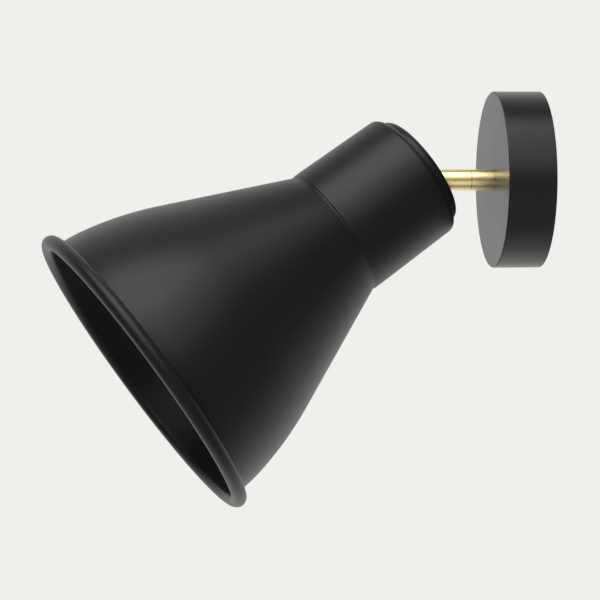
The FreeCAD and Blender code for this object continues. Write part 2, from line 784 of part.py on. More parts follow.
def lampholder():
    """An E27 holder: domed cover, insulating core with its contacts, and threaded shell."""
    dome = "holder_cover - holder_boss"
    dome_inner = "holder_waist + 0.2"
    dome_top = f"{BAR_FRONT} + boss_height + {dome}"
    lathe("holder_cap", HEAD, [
        ("thread_radius", BAR_FRONT),
        ("holder_boss", BAR_FRONT),
        ("holder_boss", f"{BAR_FRONT} + boss_height", dome),
        ("holder_cover", dome_top),
        ("holder_cover", "core_floor + 0.4"),
        (dome_inner, "core_floor + 0.4"),
        (dome_inner, dome_top, f"holder_boss - ({dome_inner})"),
        ("holder_boss", f"{dome_top} - ({dome_inner} - holder_boss)"),
        ("thread_radius", f"{dome_top} - ({dome_inner} - holder_boss)"),
    ])
    lathe("holder_shell", HEAD, [
        ("holder_bore", "core_rear"),
        ("holder_waist", "core_rear"),
        ("holder_waist", "core_floor + 0.5"),
        ("holder_collar", "core_floor + 0.5"),
        ("holder_collar", "collar_front"),
        ("holder_thread", "collar_front"),
        ("holder_thread", "holder_mouth - 1"),
        ("holder_thread - 1", "holder_mouth"),
        ("holder_bore", "holder_mouth"),
    ])
    lathe("holder_core", HEAD, [
        ("0", "core_rear"),
        ("holder_bore - 0.05", "core_rear"),
        ("holder_bore - 0.05", "core_floor + 8"),
        ("lamp_bore + 0.5", "core_floor + 8"),
        ("lamp_bore + 0.5", "core_floor"),
        ("0", "core_floor"),
    ])
    terminals = new_body("holder_terminals", HEAD)
    padded(terminals, "XY_Plane", [("-8", "0", "2"), ("8", "0", "2")], "2",
           ("0", "0", "core_rear - 2"))
    lathe("lamp_thread", HEAD, [
        ("lamp_bore", "core_floor"),
        ("lamp_bore + liner_sheet", "core_floor"),
        ("lamp_bore + liner_sheet", "core_floor + liner_length"),
        ("lamp_bore + 1.4", "core_floor + liner_length + 1"),
        ("lamp_bore + 1.4 - liner_sheet", "core_floor + liner_length + 1 + liner_sheet"),
        ("lamp_bore", "core_floor + liner_length + 0.4"),
    ])
    contact = new_body("centre_contact", HEAD)
    padded(contact, "YZ_Plane", [[
        ("-8", "core_floor"),
        ("-3", "core_floor"),
        ("2.5", "lamp_contact - 0.5"),
        ("2.5", "lamp_contact"),
        ("-3", "core_floor + 0.5"),
        ("-8", "core_floor + 0.5"),
    ]], "5", midplane=True)


def shade_ring():
    """The ring that screws on the holder and clamps the shade's flange, with grip notches."""
    low = "collar_front + shade_sheet"
    body = lathe("shade_ring", HEAD, [
        ("holder_thread + 0.1", low),
        ("ring_grip", low),
        ("ring_grip", f"{low} + grip_height"),
        ("ring_sleeve", f"{low} + grip_height"),
        ("ring_sleeve", f"{low} + ring_height"),
        ("holder_thread + 0.1", f"{low} + ring_height"),
    ])
    notch = cut(body, "XY_Plane", [("ring_grip + 0.7", "0", "2")], ("0", "0", low))
    pattern = body.newObject("PartDesign::PolarPattern", "shade_ring_grip")
    pattern.Originals = [notch]
    pattern.Axis = (origin_plane(body, "Z_Axis"), [""])
    pattern.Angle = 360
    pattern.Occurrences = 12
    body.Tip = pattern


def spun_sheet(label, sheet_alias, corners):
    """A sheet piece spun from a line on its outer surface: thickened inwards, then revolved."""
    line = doc.addObject("Sketcher::SketchObject", label + "_line")
    draw_outline(line, corners, closed=False)
    line.Placement = Placement(Vector(), Rotation(Vector(1, 0, 0), 90))
    section = doc.addObject("Part::Offset2D", label + "_section")
    section.Source = line
    section.Mode = "Skin"
    section.Fill = True
    section.setExpression("Value", bound(sheet_alias))
    spun = doc.addObject("Part::Revolution", label)
    spun.Label = label
    spun.Source = section
    spun.Axis = Vector(0, 0, 1)
    spun.Angle = 360
    place(spun, HEAD)


def bell_shade():
    """Flange, spigot and collar in the neck, then the bell: a cone that two sweeps turn
    parallel to the axis, and a rim rolled outwards and back to the sheet."""
    step = "neck_mouth + 0.05"
    reach = "collar_blend * tan(cone_angle / 2)"
    join_x = "(mouth_radius - lower_sweep * (1 - cos(sweep_join)))"
    join_z = "(mouth_depth - lower_sweep * sin(sweep_join))"
    # The upper sweep's radius is the one that touches both the cone and the lower sweep.
    sweep_rise = "(cos(sweep_join) - cos(cone_angle))"
    sweep_run = "(sin(cone_angle) - sin(sweep_join))"
    spare = f"tan(cone_angle) * ({join_z} - cone_start) - ({join_x} - collar_radius)"
    upper_sweep = f"(({spare}) / (tan(cone_angle) * {sweep_run} - {sweep_rise}))"
    roll = "(rim_radius - shade_sheet)"

    def on_rim(turn):
        """A point of the rolled rim, a given angle on from where the sheet enters it."""
        return (f"mouth_radius + {roll} + {roll} * cos(180 - {turn})",
                f"mouth_depth + {roll} * sin(180 - {turn})")

    spun_sheet("bell_shade", "shade_sheet", [
        ("shade_hole", "collar_front"),
        ("spigot_radius", "collar_front"),
        ("spigot_radius", step),
        ("collar_radius", step),
        ("collar_radius", f"cone_start - {reach}", "-collar_blend"),
        (f"collar_radius + {reach} * sin(cone_angle)", f"cone_start + {reach} * cos(cone_angle)"),
        (f"{join_x} - {upper_sweep} * {sweep_rise}", f"{join_z} - {upper_sweep} * {sweep_run}",
         upper_sweep),
        (join_x, join_z, "lower_sweep"),
        ("mouth_radius", "mouth_depth", f"-{roll}"),
        (*on_rim("rim_turn / 2"), f"-{roll}"),
        on_rim("rim_turn"),
    ])


def lamp():
    """The lamp: a screw cap with its contact, and a hollow globe that narrows to the cap."""
    lathe("bulb_base", HEAD, [
        ("0", "lamp_contact"),
        ("4.5", "lamp_contact"),
        ("5.5", "lamp_contact + 1.5"),
        ("lamp_cap - 1.2", "lamp_contact + 4"),
        ("lamp_cap", "lamp_contact + 5"),
        ("lamp_cap", "lamp_joint"),
        ("0", "lamp_joint"),
    ])
    waist_x = "globe_neck + globe_radius * (1 - cos(30))"
    shoulder_x = "globe_radius * cos(30)"
    waist_z = "globe_start + globe_radius * sin(30)"
    shoulder_z = f"{waist_z} + ({shoulder_x} - ({waist_x})) / tan(30)"
    spun_sheet("bulb_glass", "globe_sheet", [
        ("globe_neck", "lamp_joint"),
        ("globe_neck", "globe_start", "-globe_radius"),
        (waist_x, waist_z),
        (shoulder_x, shoulder_z, "globe_radius"),
        ("0", f"{shoulder_z} + globe_radius * (1 + sin(30))"),
    ])


# ---------------------------------------------------------------- wiring

def round_lead(points, radius, bend):
    """A round core along straight runs, joined by arcs of one bend radius."""
    corners = [Vector(*[value(text) for text in point]) for point in points]
    edges = []
    start = corners[0]
    for before, corner, after in zip(corners, corners[1:], corners[2:]):
        back = (before - corner).normalize()
        ahead = (after - corner).normalize()
        half = (math.pi - back.getAngle(ahead)) / 2
        tangent = bend * math.tan(half)
        arc_start = corner + back * tangent
        arc_end = corner + ahead * tangent
        inward = (back + ahead).normalize()
        middle = corner + inward * (bend / math.cos(half) - bend)
        edges.append(Part.LineSegment(start, arc_start).toShape())
        edges.append(Part.Arc(arc_start, middle, arc_end).toShape())
        start = arc_end
    edges.append(Part.LineSegment(start, corners[-1]).toShape())
    path = Part.Wire(edges)
    section = Part.Wire(Part.makeCircle(radius, corners[0], corners[1] - corners[0]))
    core = path.makePipeShell([section], True, True)
    print(f"core {path.Length:.1f} mm long, bends of {bend:.1f} mm, "
          f"volume {core.Volume / (math.pi * radius ** 2 * path.Length):.3f} of its section")
    return core


def leads(label, frame, routes, bend):
    """A group of cores that the light holds all the way."""
    group = doc.addObject("Part::Feature", label)
    group.Label = label
    radius = value("core_radius")
    group.Shape = Part.makeCompound([round_lead(points, radius, bend) for points in routes])
    place(group, frame)


def wiring():
    """Three cores in the rose, the flex through the stem and head, and the holder's cores."""
    behind = "nipple_start - 2.5"
    inside = "nipple_start + 5"
    beside = "strap_width / 2 + 4.5"
    live, neutral = [[
        (f"{start}", "0.6", inside),
        (f"{start}", "0.6", behind),
        (beside, "strap_width / 2 + 3.5", behind),
        (f"{beside} + 4", pole, f"{WIRE_LEVEL}"),
        ("tower_offset - 1", pole, f"{WIRE_LEVEL}"),
    ] for start, pole in (("1.1", "block_centre - pole_offset"),
                          ("-1.1", "block_centre + pole_offset"))]
    under_head = f"{BRIDGE_TOP} + disc_sheet + core_radius"
    earth = [
        ("0", "-1.3", inside),
        ("0", "-1.3", behind),
        ("-6", "-strap_width / 2 - 4", behind),
        ("-earth_offset - 2.7", "-strap_width / 2 - 4", under_head),
        ("-earth_offset - 2.7", "3", under_head),
    ]
    leads("rose_leads", WALL, [live, neutral, earth], 2.0)
    lathe("stem_flex", WALL, rectangle("0", f"{inside} + 0.4", "flex_radius",
                                       f"{PIVOT} - flex_kink"))
    lathe("head_flex", HEAD, rectangle("0", "cap_inset + flex_kink", "flex_radius", "36"))
    leads("holder_leads", HEAD, [[
        (f"{side} * 0.95", "0", "36"),
        (f"{side} * 0.95", "0", "38.6"),
        (f"{side} * 8", "0", "38.6"),
        (f"{side} * 8", "0", "core_rear - 2"),
    ] for side in (-1, 1)], 1.1)


# ---------------------------------------------------------------- build and write

def m10_fittings():
    tube("threaded_nipple", WALL, "nipple_bore", "nipple_radius", "nipple_start",
         "rose_depth + 5")
    hex_nut("rear_nut", WALL, "strap_rise - nut_height", "nut_height")
    lock_washer()
    hex_nut("front_nut", WALL, f"{BRIDGE_TOP} + washer_sheet", "nut_height + 0.5")
    tube("holder_nipple", HEAD, "nipple_bore", "nipple_radius",
         "fork_face - nut_height - 0.5", "36")
    hex_nut("holder_nut", HEAD, "fork_face - nut_height", "nut_height")


def screws():
    pan_screw("block_screw", WALL, "0", "block_centre", "2.6", "1.25",
              "strap_rise - 1", BLOCK_TOP, "1.8")
    earth_washer = new_body("earth_washer", WALL)
    padded(earth_washer, "XY_Plane", [("-earth_offset", "0", "earth_hole"),
                                      ("-earth_offset", "0", "earth_disc")],
           "disc_sheet", ("0", "0", BRIDGE_TOP))
    pan_screw("earth_screw", WALL, "-earth_offset", "0", "screw_head", "1.65",
              "strap_rise - 3", f"{BRIDGE_TOP} + disc_sheet + 2 * core_radius", "2.2")
    pan_screw("bar_screws", HEAD, "lug_offset", "0", "screw_head", "1.6",
              "lug_rear + 4", BAR_FRONT, "2.2", pair=True)


wall_rose()
wall_bracket()
terminal_block()
terminal_inserts()
terminal_screws()
m10_fittings()
screws()
stem_socket()
stop_pin()
stem_tube()
washer("swivel_washer", WALL, "journal_radius + 0.08", "thread_radius - 0.15",
       f"{CLIP_FACE} + 0.02", "washer_sheet - 0.04")
washer("swivel_circlip", WALL, "clip_groove + 0.05", "thread_radius - 0.15",
       f"{CLIP_FACE} - clip_sheet", "clip_sheet", "320")
pivot_drum()
pivot_hardware()
back_cap()
washer("cap_ring", HEAD, "neck_radius - 4.6", "neck_radius - neck_wall + 0.4",
       RING_LOW, "ring_sheet", "325")
neck_housing()
fork_bracket()
cross_bar()
lampholder()
shade_ring()
bell_shade()
lamp()
wiring()
doc.recompute()

for item in doc.Objects:
    if "Invalid" in item.State or "Error" in item.State:
        raise RuntimeError(f"{item.Label} did not compute: {item.State}")
for piece in subparts:
    if piece.Shape.isNull() or not piece.Shape.isValid():
        raise RuntimeError(f"{piece.Label} has no valid shape")

os.makedirs("parts", exist_ok=True)
for piece in subparts:
    piece.Shape.exportStep(f"parts/{piece.Label}.step")
    box = piece.Shape.BoundBox
    print(f"{piece.Label}: {len(piece.Shape.Solids)} solid(s), {piece.Shape.Volume:.0f} mm3, "
          f"x {box.XMin:.1f}..{box.XMax:.1f} y {box.YMin:.1f}..{box.YMax:.1f} "
          f"z {box.ZMin:.1f}..{box.ZMax:.1f}")
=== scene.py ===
# %% [markdown]
# # A pivoting spotlight wall light, dressed for its picture
#
# The light is a satin-black rose on the wall, a short brass stem that swivels in a socket,
# and a black head that tilts on the stem's end: a turned neck with a slotted back cap, and a
# spun bell shade with a rolled rim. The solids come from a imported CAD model. This notebook
# loads them as a fixed frame, gives every one a worked finish, and models again the pieces
# that the plain solids only stand for: screw threads, the lamp and the wires.

# %% Load the frame
import json
import math

import bmesh
import bpy
from mathutils import Matrix, Vector


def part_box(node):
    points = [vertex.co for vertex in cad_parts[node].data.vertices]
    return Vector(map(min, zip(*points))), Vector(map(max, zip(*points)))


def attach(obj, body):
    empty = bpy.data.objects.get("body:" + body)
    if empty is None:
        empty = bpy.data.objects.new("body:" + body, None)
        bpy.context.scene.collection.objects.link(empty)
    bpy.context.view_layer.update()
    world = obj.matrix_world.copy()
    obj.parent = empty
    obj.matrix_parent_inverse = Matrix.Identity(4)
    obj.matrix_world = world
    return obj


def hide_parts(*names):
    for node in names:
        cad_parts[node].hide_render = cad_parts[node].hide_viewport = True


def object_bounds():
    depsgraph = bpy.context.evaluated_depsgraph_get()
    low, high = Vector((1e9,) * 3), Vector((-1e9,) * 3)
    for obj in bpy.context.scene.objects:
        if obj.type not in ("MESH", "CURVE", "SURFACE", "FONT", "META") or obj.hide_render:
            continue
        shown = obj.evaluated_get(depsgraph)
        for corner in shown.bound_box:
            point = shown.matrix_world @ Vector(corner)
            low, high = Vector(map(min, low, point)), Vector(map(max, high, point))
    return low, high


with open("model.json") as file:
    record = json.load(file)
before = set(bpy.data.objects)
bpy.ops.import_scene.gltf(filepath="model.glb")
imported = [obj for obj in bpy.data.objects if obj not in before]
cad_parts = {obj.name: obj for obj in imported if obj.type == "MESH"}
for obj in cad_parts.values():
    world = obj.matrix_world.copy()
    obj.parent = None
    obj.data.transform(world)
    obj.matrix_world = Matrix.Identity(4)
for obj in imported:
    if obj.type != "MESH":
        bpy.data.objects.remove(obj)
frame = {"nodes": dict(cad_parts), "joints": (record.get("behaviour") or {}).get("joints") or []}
cad_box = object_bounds()
MM = 0.001
print("nodes:", len(frame["nodes"]))
print("lowest and highest corner, mm:", [[round(c / MM, 1) for c in corner] for corner in cad_box])

# %% [markdown]
# ## Where things are
#
# Two directions describe the whole light. The wall side is turned about the line straight
# out of the wall. The head is turned about its own axis, which points down at the rest tilt.
# Both come from the frame: the tilt is the travel between rest and straight out, and the
# back cap's outer face is found by asking how far its corners reach along the axis.

# %% Directions of the head, read from the joints
joints = {joint["name"]: joint for joint in frame["joints"]}
pivot = Vector(joints["head_tilt"]["pos_m"])
rest_tilt = math.radians(-joints["head_tilt"]["range_deg"][0])
to_mouth = Vector((0, -math.cos(rest_tilt), -math.sin(rest_tilt)))
to_top = Vector((0, -math.sin(rest_tilt), math.cos(rest_tilt)))
print("rest tilt, degrees:", round(math.degrees(rest_tilt), 1))


# %% Measure a node along an axis
def reach(node, start, axis):
    """Nearest and furthest distance of a node along an axis, and its furthest from it."""
    along = []
    out = []
    for vertex in frame["nodes"][node].data.vertices:
        offset = vertex.co - start
        distance = offset.dot(axis)
        along.append(distance)
        out.append((offset - distance * axis).length)
    return min(along), max(along), max(out)


cap_face = pivot + reach("back_cap", pivot, to_mouth)[0] * to_mouth
out_of_wall = Vector((0, -1, 0))
wall_centre = Vector((0, 0, 0))
print("the head's axis starts at, mm:", [round(c / MM, 2) for c in cap_face])


# %% Two upright frames to model in
def upright(origin, ahead, up):
    """A matrix that takes z to ahead and y to up, with its origin at a point."""
    side = up.cross(ahead)
    turn = Matrix((side, up, ahead)).transposed().to_4x4()
    return Matrix.Translation(origin) @ turn


HEAD = upright(cap_face, to_mouth, to_top)
WALL = upright(wall_centre, out_of_wall, Vector((0, 0, 1)))
print("x of the head frame points along", [round(c, 3) for c in HEAD.col[0][:3]])

# %% [markdown]
# ## The picture: camera, backdrop and lights
#
# The photograph looks along the wall from slightly in front of it and slightly below the
# light, through a long lens, so the rose is a narrow ellipse and we see a little way into
# the shade. The camera stands where that ellipse and the tilt of the head both agree with
# the photograph. Setting its matrix from three axes avoids any guess about its roll.

# %% The camera
camera_data = bpy.data.cameras.new("camera")
camera_data.lens = 120
camera_data.sensor_width = 36
camera_data.clip_end = 50
camera = bpy.data.objects.new("camera", camera_data)
bpy.context.scene.collection.objects.link(camera)
camera_right = Vector((0.0946, 0.9951, -0.0283))
camera_back = Vector((0.9771, -0.0983, -0.1886))
camera_place = Vector((1.0884, -0.2477, -0.2786))
camera_up = camera_back.cross(camera_right).normalized()
camera_right = camera_up.cross(camera_back).normalized()
camera_axes = Matrix((camera_right, camera_up, camera_back.normalized())).transposed()
camera.matrix_world = Matrix.Translation(camera_place) @ camera_axes.to_4x4()
bpy.context.scene.camera = camera
print("camera to pivot, mm:", round((camera_place - pivot).length / MM))

# %% [markdown]
# A wall light hangs well above the floor, so the pale floor lies a long way down and the
# picture shows only a pale backdrop. Black satin paint is nearly all reflection: what it
# mirrors is the studio. So the world is a pale backdrop behind the light, fading to dark
# on the camera's side, with a large softbox up on that side and a smaller one inside it,
# which gives the band along the neck its soft shoulders.

# %% Floor and tone
scene = bpy.context.scene
scene.view_settings.view_transform = "Standard"
scene.view_settings.look = "None"
FLOOR_DROP = 1.5
FLOOR_HALF = 40
BACKDROP = (0.871, 0.863, 0.831, 1)

floor_mesh = bpy.data.meshes.new("floor")
floor_form = bmesh.new()
bmesh.ops.create_grid(floor_form, x_segments=1, y_segments=1, size=FLOOR_HALF)
bmesh.ops.translate(floor_form, verts=floor_form.verts, vec=(0, 0, -FLOOR_DROP))
floor_form.to_mesh(floor_mesh)
floor_form.free()
floor = bpy.data.objects.new("floor", floor_mesh)
scene.collection.objects.link(floor)
floor.visible_glossy = False
print("floor lies", FLOOR_DROP, "m below the light")


# %% Softboxes
def softbox(name, aim, distance, size, power):
    """A square area light that looks at the light's middle from a direction."""
    lamp_data = bpy.data.lights.new(name, "AREA")
    lamp_data.shape = "SQUARE"
    lamp_data.size = size
    lamp_data.energy = power
    lamp = bpy.data.objects.new(name, lamp_data)
    scene.collection.objects.link(lamp)
    middle = (cad_box[0] + cad_box[1]) / 2
    lamp.location = middle + aim.normalized() * distance
    lamp.rotation_euler = aim.to_track_quat("Z", "Y").to_euler()
    lamp.visible_camera = False
    return lamp


softbox("wide_softbox", Vector((0.76, -0.10, 0.59)), 1.6, 2.4, 14.5)
softbox("inner_softbox", Vector((0.64, -0.16, 0.72)), 1.5, 1.2, 6.5)


# %% [markdown]
# ## A small language for shader nodes
#
# Node materials read badly when every sum is five lines. `Value` wraps one socket, and
# Python's own signs add the Math nodes, also with a plain number on the left. `Finish`
# owns one material: `node` adds any other node from its type, settings and inputs.

# %% A socket that can be added and multiplied
class Value:
    """One output socket of a node tree. Sums of it make Math nodes."""

    def __init__(self, tree, socket):
        self.tree = tree
        self.socket = socket

    def maths(self, operation, *numbers):
        node = self.tree.nodes.new("ShaderNodeMath")
        node.operation = operation
        for slot, number in zip(node.inputs, numbers):
            give(self.tree, slot, number)
        return Value(self.tree, node.outputs[0])

    def __add__(self, other):
        return self.maths("ADD", self, other)

    def __radd__(self, other):
        return self.maths("ADD", other, self)

    def __sub__(self, other):
        return self.maths("SUBTRACT", self, other)

    def __rsub__(self, other):
        return self.maths("SUBTRACT", other, self)

    def __mul__(self, other):
        return self.maths("MULTIPLY", self, other)

    def __rmul__(self, other):
        return self.maths("MULTIPLY", other, self)

    def __truediv__(self, other):
        return self.maths("DIVIDE", self, other)

    def clamped(self):
        low = self.maths("MAXIMUM", self, 0.0)
        return low.maths("MINIMUM", low, 1.0)


def give(tree, slot, value):
    """Link a wrapped socket to an input, or set the input to a plain value."""
    if isinstance(value, Value):
        tree.links.new(value.socket, slot)
    else:
        slot.default_value = value


# %% A material and its nodes
class Finish:
    """One material: its tree, its main shader and a short way to add nodes."""

    def __init__(self, name, shader_values):
        self.material = bpy.data.materials.new(name)
        self.material.use_nodes = True
        self.tree = self.material.node_tree
        self.shader = self.tree.nodes["Principled BSDF"]
        for socket, value in shader_values.items():
            self.shader.inputs[socket].default_value = value

    def node(self, kind, settings=None, values=None, output=0):
        """A node of any type, its settings set first, then its inputs."""
        node = self.tree.nodes.new("ShaderNode" + kind)
        for setting, choice in (settings or {}).items():
            setattr(node, setting, choice)
        for socket, value in (values or {}).items():
            give(self.tree, node.inputs[socket], value)
        return Value(self.tree, node.outputs[output])

    def place(self, stretch=(1, 1, 1)):
        """Object coordinates in metres, stretched."""
        where = self.node("TexCoord", output="Object")
        return self.node("Mapping", None, {"Vector": where, "Scale": stretch})

    def noise(self, scale, detail=2.0, where=None, roughness=0.5):
        """Cloudy noise from 0 to 1, with its scale in waves per metre."""
        return self.node("TexNoise", None, {
            "Vector": where or self.place(), "Scale": scale, "Detail": detail,
            "Roughness": roughness})

    def blend(self, share, first, second):
        """A colour between two colours."""
        return self.node("Mix", {"data_type": "RGBA"},
                         {"Factor": share, 6: first, 7: second}, output=2)

    def feed(self, socket, value):
        give(self.tree, self.shader.inputs[socket], value)

    def bump(self, height, strength, depth):
        """Let a height in shares of a depth in metres disturb the surface's normal."""
        normal = self.node("Bump", None, {
            "Height": height, "Strength": strength, "Distance": depth})
        self.feed("Normal", normal)


print("shader language ready")


# %% [markdown]
# The world is dark where a reflection looks past the camera's side and pale behind the
# light. The direction's x tells which: it runs from +1 by the camera to -1 behind the
# light. Light Path keeps the backdrop that the camera itself sees plain.

# %% The world
ROOM_GLOW = 0.06
BACKDROP_GLOW = 0.98
FLOOR_GLOW = 0.14


def studio_world():
    """A pale backdrop behind the light, a dim room before it and a faint floor."""
    world = bpy.data.worlds.new("studio")
    world.use_nodes = True
    tree = world.node_tree
    tree.nodes.clear()
    where = tree.nodes.new("ShaderNodeTexCoord")
    split = tree.nodes.new("ShaderNodeSeparateXYZ")
    tree.links.new(where.outputs["Generated"], split.inputs[0])
    across = Value(tree, split.outputs["X"])
    toward_wall = Value(tree, split.outputs["Y"])
    height = Value(tree, split.outputs["Z"])
    behind = ((0.15 - across) / 0.85).clamped()
    below = ((-0.1 - height) * 1.4).clamped() * (1.2 - toward_wall * 1.6).clamped()
    strength = ROOM_GLOW + BACKDROP_GLOW * behind + FLOOR_GLOW * below
    seen = tree.nodes.new("ShaderNodeBackground")
    seen.inputs["Color"].default_value = BACKDROP
    mirrored = tree.nodes.new("ShaderNodeBackground")
    give(tree, mirrored.inputs["Strength"], strength)
    path = tree.nodes.new("ShaderNodeLightPath")
    pick = tree.nodes.new("ShaderNodeMixShader")
    tree.links.new(path.outputs["Is Camera Ray"], pick.inputs[0])
    tree.links.new(mirrored.outputs[0], pick.inputs[1])
    tree.links.new(seen.outputs[0], pick.inputs[2])
    out = tree.nodes.new("ShaderNodeOutputWorld")
    tree.links.new(pick.outputs[0], out.inputs[0])
    return world


scene.world = studio_world()
print("world:", scene.world.name)


# %% [markdown]
# ## Finishes
#
# Powder coat melts and flows in the oven, and leaves a skin that is flat to the hand but
# has a fine orange peel, a millimetre or so from wave to wave. Handling leaves the sheen a
# little uneven over several centimetres. Neither shows as colour: both act on roughness
# and on the normal.

# %% Satin black powder coat
def powder_coat(name, tone, roughness):
    """Black paint: orange peel and fine grain in the normal, clouds and specks in the sheen."""
    coat = Finish(name, {"Base Color": tone, "IOR": 1.5})
    peel = coat.noise(900, 2)
    cloud = coat.noise(22, 3)
    grain = coat.noise(4200, 1)
    speck = ((coat.noise(1500, 0) - 0.74) * 12).clamped()
    sheen = 0.07 * (cloud - 0.5) + 0.05 * (grain - 0.5) + 0.06 * speck
    coat.feed("Roughness", roughness + sheen)
    coat.bump(peel + 0.25 * grain + 0.3 * speck, 0.16, 0.00005)
    return coat


finishes = {}
ROSE_BLACK = (0.014, 0.014, 0.0143, 1)
HEAD_BLACK = (0.009, 0.009, 0.0092, 1)
FLOOR_TONE = (0.86, 0.85, 0.82, 1)
finishes["rose_paint"] = powder_coat("rose_paint", ROSE_BLACK, 0.30)
finishes["head_paint"] = powder_coat("head_paint", HEAD_BLACK, 0.39)
finishes["cap_paint"] = powder_coat("cap_paint", HEAD_BLACK, 0.39)
floor_finish = Finish("floor_paint", {
    "Base Color": FLOOR_TONE, "Roughness": 0.9,
    "Emission Color": FLOOR_TONE, "Emission Strength": 0.64})
floor_finish.bump(floor_finish.noise(60, 3), 0.1, 0.001)
floor_mesh.materials.append(floor_finish.material)
print("paints:", sorted(finishes))


# %% [markdown]
# Lacquered brass on the stem is turned and then polished: its scratches run round the
# stem, so the noise is stretched thin along it and long across it. Inner brass and steel
# pieces are plainer, but turned marks, stains and plating spangle still tell them apart.

# %% Metals
def turned_metal(name, tone, stain, roughness, stretch, mark):
    """Metal with turned or rolled marks of a given strength, and stains between them."""
    metal = Finish(name, {"Metallic": 1.0})
    rings = metal.noise(1, 3, metal.place(stretch), 0.6)
    cloud = metal.noise(140, 3)
    spots = ((cloud - 0.52) * 5).clamped()
    metal.feed("Base Color", metal.blend(spots, tone, stain))
    metal.feed("Roughness", roughness + 0.10 * (rings - 0.5) + 0.08 * spots)
    metal.bump(rings, mark, 0.00001)
    return metal


ALONG_STEM = (60, 5200, 60)
ALONG_PIVOT = (5200, 60, 60)
EVERY_WAY = (700, 700, 700)
finishes["brass"] = turned_metal(
    "brass", (0.96, 0.80, 0.42, 1), (0.94, 0.77, 0.38, 1), 0.32, ALONG_STEM, 0.10)
finishes["turned_brass"] = turned_metal(
    "turned_brass", (0.83, 0.60, 0.25, 1), (0.70, 0.47, 0.17, 1), 0.30, ALONG_PIVOT, 0.6)
finishes["zinc_steel"] = turned_metal(
    "zinc_steel", (0.62, 0.64, 0.67, 1), (0.52, 0.52, 0.50, 1), 0.38, EVERY_WAY, 0.5)
finishes["bright_steel"] = turned_metal(
    "bright_steel", (0.68, 0.68, 0.67, 1), (0.58, 0.57, 0.55, 1), 0.24, EVERY_WAY, 0.4)
finishes["lamp_metal"] = turned_metal(
    "lamp_metal", (0.74, 0.73, 0.70, 1), (0.62, 0.60, 0.55, 1), 0.27, EVERY_WAY, 0.3)
finishes["bare_copper"] = turned_metal(
    "bare_copper", (0.86, 0.44, 0.28, 1), (0.60, 0.28, 0.16, 1), 0.32, EVERY_WAY, 0.6)
print("metals:", [name for name in finishes if "paint" not in name])


# %% [markdown]
# Plastics and ceramics differ in how light enters them. Bakelite is a deep brown-black
# with faint flow clouds, the terminal block is a milky nylon, and the lampholder's core is
# glazed ceramic with faint clouds under the glaze.

# %% Plastics, fibre and ceramic
def moulded(name, tone, cloud_tone, roughness, cloud_scale, wave_scale, depth):
    """A moulded or glazed skin: clouds between two tones, and waves of a given depth."""
    plastic = Finish(name, {"IOR": 1.5})
    cloud = plastic.noise(cloud_scale, 4, roughness=0.6)
    waves = plastic.noise(wave_scale, 2)
    plastic.feed("Base Color", plastic.blend(cloud, tone, cloud_tone))
    plastic.feed("Roughness", roughness + 0.12 * (waves - 0.5))
    plastic.bump(waves, 0.3, depth)
    return plastic


finishes["holder_plastic"] = moulded(
    "holder_plastic", (0.014, 0.011, 0.009, 1), (0.026, 0.019, 0.014, 1), 0.30, 70, 700, 0.00003)
finishes["block_plastic"] = moulded(
    "block_plastic", (0.80, 0.79, 0.73, 1), (0.72, 0.70, 0.62, 1), 0.42, 120, 1400, 0.00003)
finishes["fibre"] = moulded(
    "fibre", (0.23, 0.05, 0.03, 1), (0.33, 0.09, 0.05, 1), 0.62, 900, 2600, 0.00004)
finishes["flex_sheath"] = moulded(
    "flex_sheath", (0.55, 0.55, 0.54, 1), (0.48, 0.48, 0.47, 1), 0.48, 90, 1800, 0.00003)
finishes["core_ceramic"] = moulded(
    "core_ceramic", (0.80, 0.78, 0.72, 1), (0.74, 0.71, 0.64, 1), 0.16, 260, 500, 0.00003)
print("finishes so far:", len(finishes))

# %% Core insulation in the wiring colours, and the lamp's black glass
for skin, tone, deep in (("live_core", (0.16, 0.055, 0.02, 1), (0.12, 0.04, 0.015, 1)),
                         ("neutral_core", (0.02, 0.09, 0.42, 1), (0.015, 0.07, 0.34, 1)),
                         ("earth_green", (0.03, 0.24, 0.06, 1), (0.025, 0.20, 0.05, 1)),
                         ("earth_yellow", (0.78, 0.62, 0.03, 1), (0.72, 0.55, 0.03, 1)),
                         ("lamp_vitrite", (0.01, 0.01, 0.012, 1), (0.02, 0.02, 0.025, 1))):
    finishes[skin] = moulded(skin, tone, deep, 0.38, 400, 2200, 0.00002)
print("finishes so far:", len(finishes))

# %% [markdown]
# A frosted lamp is white because its inner face scatters. The outer face is smooth glass,
# so the finish is a pale body with a clear coat, and the coating inside is a touch uneven.

# %% Frosted glass
frosting = Finish("frosted_glass", {
    "IOR": 1.5, "Coat Weight": 0.6, "Coat Roughness": 0.06,
    "Subsurface Weight": 0.25, "Subsurface Scale": 0.004})
frost_cloud = frosting.noise(60, 4, roughness=0.6)
frost_grain = frosting.noise(2600, 1)
frost_tones = ((0.86, 0.86, 0.84, 1), (0.80, 0.80, 0.77, 1))
frosting.feed("Base Color", frosting.blend(frost_cloud, *frost_tones))
frosting.feed("Roughness", 0.42 + 0.1 * (frost_grain - 0.5))
frosting.bump(frost_grain, 0.15, 0.00002)
finishes["frosted_glass"] = frosting
print("finishes:", sorted(finishes))

# %% [markdown]
# A small brass part between two black ones goes dark where it mirrors the unlit room, above
# and below. A photographer puts cards there. The two cards here are small area lights that
# light linking lets fall on the brass alone, so the black paint keeps its deep shadow.

